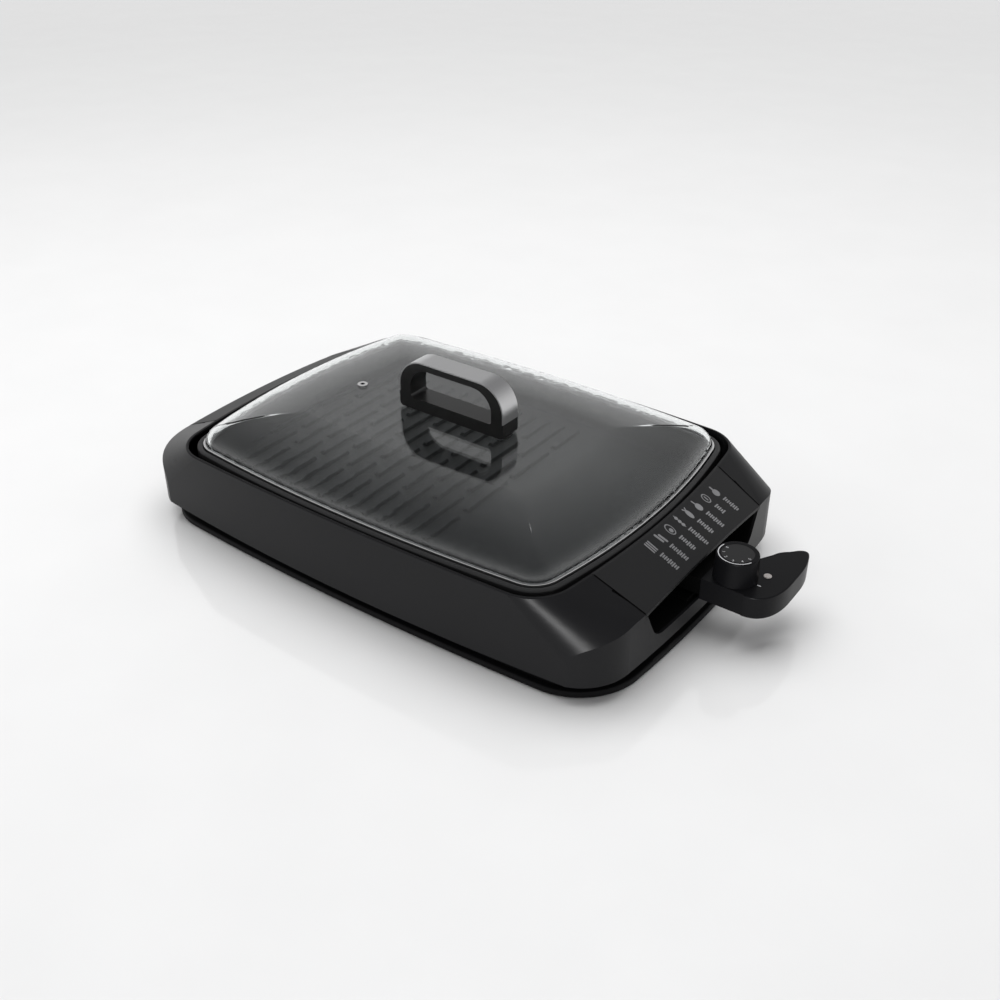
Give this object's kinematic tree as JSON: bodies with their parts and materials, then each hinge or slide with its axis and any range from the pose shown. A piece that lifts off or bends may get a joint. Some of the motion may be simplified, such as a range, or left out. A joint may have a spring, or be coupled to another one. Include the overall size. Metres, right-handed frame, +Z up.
{
  "type": "electric griddle",
  "caption": "Oblong table griddle with a drop-in ribbed and flat cooking plate, a domed glass lid with an arched handle, and a plug-in thermostat probe with a control knob.",
  "frame": {"origin": "on the table top, straight under the middle of the overall length, probe included", "axes": "+X along the long side towards the probe, +Y towards the back long side, +Z up"},
  "size_m": [0.5842, 0.3352, 0.162],
  "materials": {
    "casing_black": "satin moulded plastic, dark grey",
    "panel_grey": "fine matte",
    "liner_black": "matte black",
    "base_black": "matte black",
    "rubber": "matte",
    "steel": "bare steel",
    "bright_steel": "polished steel",
    "sheath": "heat darkened steel sheath",
    "ceramic": null,
    "brass": "brass",
    "plate_coating": "cast aluminium with black non-stick coating",
    "glass": "clear toughened glass",
    "handle_black": "satin black phenolic",
    "satin_strip": "satin steel",
    "silicone": "silicone",
    "probe_black": "satin black plastic",
    "lens_red": "translucent lens"
  },
  "bodies": {
    "base": {"outer_casing": "casing_black", "right_end_panel": "panel_grey", "left_end_panel": "panel_grey", "right_recess_liner": "liner_black", "left_recess_liner": "liner_black", "base_tray": "base_black", "base_screws": "steel", "rubber_feet": "rubber", "heat_reflector": "steel", "reflector_posts": "steel", "plate_supports": "steel", "heating_element": "sheath", "terminal_plate": "steel", "terminal_insulators": "ceramic", "element_seals": "silicone", "terminal_pins": "bright_steel"},
    "plate": {"cooking_plate": "plate_coating"},
    "lid": {"glass_lid": "glass", "lid_rim": "bright_steel", "vent_grommet": "bright_steel", "handle_body": "handle_black", "handle_cover": "satin_strip", "handle_gaskets": "silicone", "handle_washers": "steel", "handle_screws": "steel"},
    "probe": {"probe_upper_housing": "probe_black", "probe_lower_housing": "probe_black", "probe_screw": "steel", "probe_neck": "liner_black", "contact_sleeves": "brass", "sensor_rod": "bright_steel", "thermostat_frame": "steel", "switch_blades": "brass", "pilot_lens": "lens_red", "pilot_lamp": "lens_red", "cord_gland": "rubber"},
    "knob": {"probe_knob": "probe_black", "knob_cap": "probe_black", "knob_shaft": "steel"}
  },
  "joints": [
    {"name": "plate_lift", "type": "slide", "parent": "base", "child": "plate", "axis": [0, 0, 1], "range_m": [0, 0.12]},
    {"name": "lid_lift", "type": "slide", "parent": "plate", "child": "lid", "axis": [0, 0, 1], "range_m": [0, 0.15]},
    {"name": "probe_pull", "type": "slide", "parent": "base", "child": "probe", "axis": [1, 0, 0], "range_m": [0, 0.12]},
    {"name": "knob_turn", "type": "hinge", "parent": "probe", "child": "knob", "pos_m": [0.2509, 0, 0.06], "axis": [0, 0, 1], "range_deg": [0, 270]}
  ]
}
